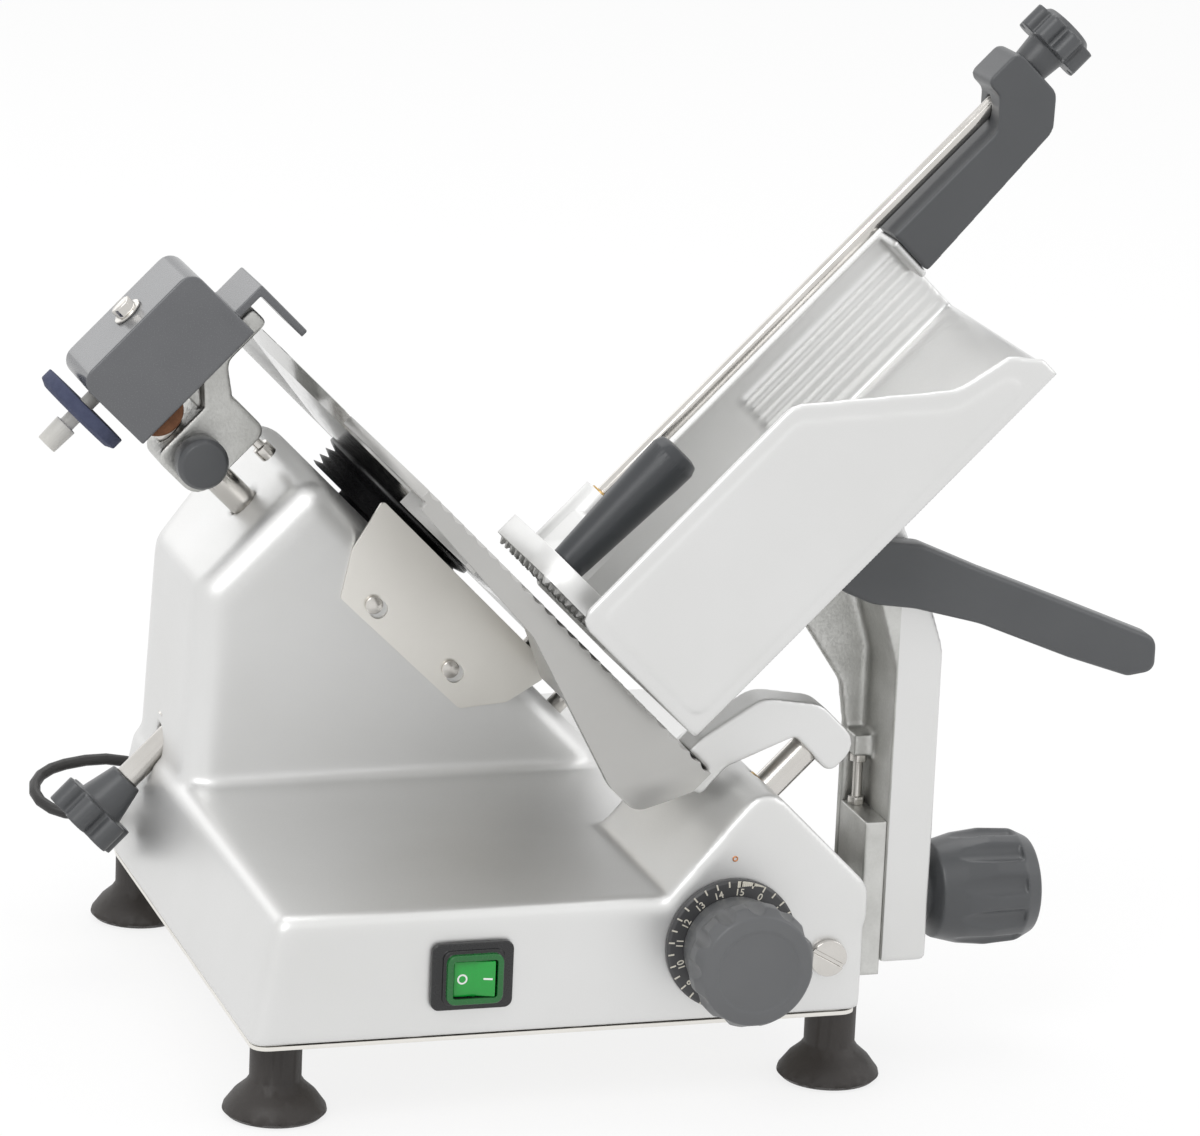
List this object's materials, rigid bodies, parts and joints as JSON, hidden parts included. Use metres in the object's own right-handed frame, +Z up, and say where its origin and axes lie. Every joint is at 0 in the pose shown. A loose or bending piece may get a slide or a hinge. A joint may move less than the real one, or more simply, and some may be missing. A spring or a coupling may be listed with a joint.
{
  "type": "gravity-feed food slicer",
  "caption": "Electric gravity-feed slicer: tilted motor-driven knife with gauge plate and sharpener, and a hand-pushed carriage with a slanted food tray.",
  "frame": {"origin": "on the table, under the middle of the machine as seen from above, without its cord", "axes": "+X right towards the carriage handle, +Y away from the operator, +Z up"},
  "size_m": [0.5141, 0.501, 0.5088],
  "materials": {
    "cast_aluminium": "satin anodised casting",
    "raw_casting": "as-cast aluminium, machined faces",
    "sheet_steel": "brushed stainless sheet",
    "knife_steel": "polished hardened steel",
    "bright_steel": "bright steel",
    "bronze": "turned bearing bronze",
    "drive_metal": "turned aluminium and laminated steel",
    "grey_plastic": "moulded dark grey plastic, satin",
    "dial_plastic": "dark disc with printed scale",
    "grey_housing": "dark grey painted casting",
    "black_plastic": "black moulded plastic",
    "green_lens": "green translucent rocker",
    "foot_rubber": "moulded rubber",
    "cord_rubber": "flexible cord sheath",
    "pale_plastic": "light grey plastic",
    "grinding_grit": "bonded blue-violet grit",
    "brown_grit": "bonded brown grit"
  },
  "bodies": {
    "base": {"base_casting": "cast_aluminium", "bottom_cover": "sheet_steel", "cover_screws": "bright_steel", "feet": "foot_rubber", "slide_rod": "bright_steel", "guide_rod": "bright_steel", "rod_end_screws": "bright_steel", "switch_body": "black_plastic", "gauge_bush": "bronze", "spindle": "bright_steel", "spindle_bearings": "bright_steel", "drive_belt": "foot_rubber", "motor": "drive_metal", "knife_cover": "knife_steel", "ring_guard": "cast_aluminium", "guard_posts": "bright_steel", "slice_deflector": "sheet_steel", "deflector_pins": "bright_steel", "sharpener_post": "bright_steel", "cord_gland": "pale_plastic", "cord_run": "cord_rubber", "cord_coil": "cord_rubber", "cord_tie": "black_plastic", "cord_plug": "black_plastic"},
    "rocker": {"switch_rocker": "green_lens"},
    "dial": {"dial_disc": "dial_plastic", "dial_knob": "grey_plastic", "dial_shaft": "bright_steel"},
    "gauge": {"gauge_plate": "cast_aluminium", "gauge_arm": "cast_aluminium", "gauge_rod": "bright_steel", "gauge_follower": "bright_steel"},
    "knife_set": {"knife": "knife_steel", "knife_hub": "black_plastic", "knife_bolts": "bright_steel", "knife_pulley": "drive_metal"},
    "motor_rotor": {"motor_pulley": "drive_metal"},
    "cover_release": {"tie_rod": "bright_steel", "tie_rod_knob": "grey_plastic"},
    "sharpener": {"sharpener_bracket": "raw_casting", "sharpener_stop_screw": "bright_steel", "sharpener_housing": "grey_housing", "sharpener_bolt": "bright_steel"},
    "sharpener_clamp": {"sharpener_knob": "grey_plastic"},
    "stone_shaft": {"stone_button": "pale_plastic"},
    "stone": {"grinding_stone": "grinding_grit"},
    "deburrer": {"deburring_stone": "brown_grit"},
    "carriage": {"carriage_arm": "cast_aluminium", "slide_block": "raw_casting", "slide_bushes": "bronze", "adjusting_bolt": "bright_steel", "carriage_handle": "grey_plastic", "food_tray": "cast_aluminium", "pusher_rod": "bright_steel", "pusher_bracket": "grey_plastic"},
    "carriage_clamp": {"clamp_knob": "grey_plastic"},
    "rod_knob": {"pusher_end_knob": "grey_plastic"},
    "pusher_slider": {"pusher_sleeve": "bronze"},
    "pusher": {"food_pusher": "cast_aluminium", "pusher_handle": "grey_plastic"}
  },
  "joints": [
    {"name": "carriage_slide", "type": "slide", "parent": "base", "child": "carriage", "axis": [0, 1, 0], "range_m": [0, 0.235]},
    {"name": "knife_spin", "type": "hinge", "parent": "base", "child": "knife_set", "pos_m": [-0.06721, 0.086, 0.23334], "axis": [0.7071, 0, 0.7071], "continuous": true},
    {"name": "motor_spin", "type": "hinge", "parent": "base", "child": "motor_rotor", "pos_m": [-0.05307, 0.086, 0.14142], "axis": [0.7071, 0, 0.7071], "continuous": true},
    {"name": "dial_turn", "type": "hinge", "parent": "base", "child": "dial", "pos_m": [0.028, -0.181, 0.083], "axis": [0, -1, 0], "range_deg": [0, 337.5]},
    {"name": "gauge_slide", "type": "slide", "parent": "base", "child": "gauge", "axis": [-0.7071, 0, -0.7071], "range_m": [0, 0.015]},
    {"name": "switch_rock", "type": "hinge", "parent": "base", "child": "rocker", "pos_m": [-0.1, -0.1855, 0.075], "axis": [0, 0, 1], "range_deg": [0, 14]},
    {"name": "cover_knob_turn", "type": "hinge", "parent": "base", "child": "cover_release", "pos_m": [-0.17328, 0.086, 0.12728], "axis": [-0.7071, 0, -0.7071], "range_deg": [0, 720]},
    {"name": "sharpener_lift", "type": "slide", "parent": "base", "child": "sharpener", "axis": [-0.7071, 0, 0.7071], "range_m": [0, 0.045]},
    {"name": "sharpener_knob_turn", "type": "hinge", "parent": "sharpener", "child": "sharpener_clamp", "pos_m": [-0.18106, 0.051, 0.26799], "axis": [0, -1, 0], "range_deg": [0, 360]},
    {"name": "stone_push", "type": "slide", "parent": "sharpener", "child": "stone_shaft", "axis": [0.7071, 0, 0.7071], "range_m": [0, 0.004], "stiffness_N_per_m": 800, "springref_m": -0.004},
    {"name": "stone_spin", "type": "hinge", "parent": "stone_shaft", "child": "stone", "pos_m": [-0.23621, 0.076, 0.28921], "axis": [0.7071, 0, 0.7071], "continuous": true},
    {"name": "deburr_spin", "type": "hinge", "parent": "sharpener", "child": "deburrer", "pos_m": [-0.20156, 0.058, 0.29274], "axis": [0, 1, 0], "continuous": true},
    {"name": "carriage_clamp_turn", "type": "hinge", "parent": "carriage", "child": "carriage_clamp", "pos_m": [0.174, -0.101, 0.076], "axis": [1, 0, 0], "range_deg": [0, 720]},
    {"name": "rod_knob_turn", "type": "hinge", "parent": "carriage", "child": "rod_knob", "pos_m": [0.21704, -0.042, 0.48649], "axis": [0.7071, 0, 0.7071], "range_deg": [0, 720]},
    {"name": "pusher_slide", "type": "slide", "parent": "carriage", "child": "pusher_slider", "axis": [0.7071, 0, 0.7071], "range_m": [0, 0.18]},
    {"name": "pusher_swing", "type": "hinge", "parent": "pusher_slider", "child": "pusher", "pos_m": [-0.0163, -0.042, 0.25314], "axis": [-0.7071, 0, -0.7071], "range_deg": [0, 100]}
  ],
  "couplings": [
    {"joint": "motor_spin", "follows": "knife_spin", "ratio": 2.8},
    {"joint": "dial_turn", "follows": "gauge_slide", "rad_per_m": 392.69}
  ]
}
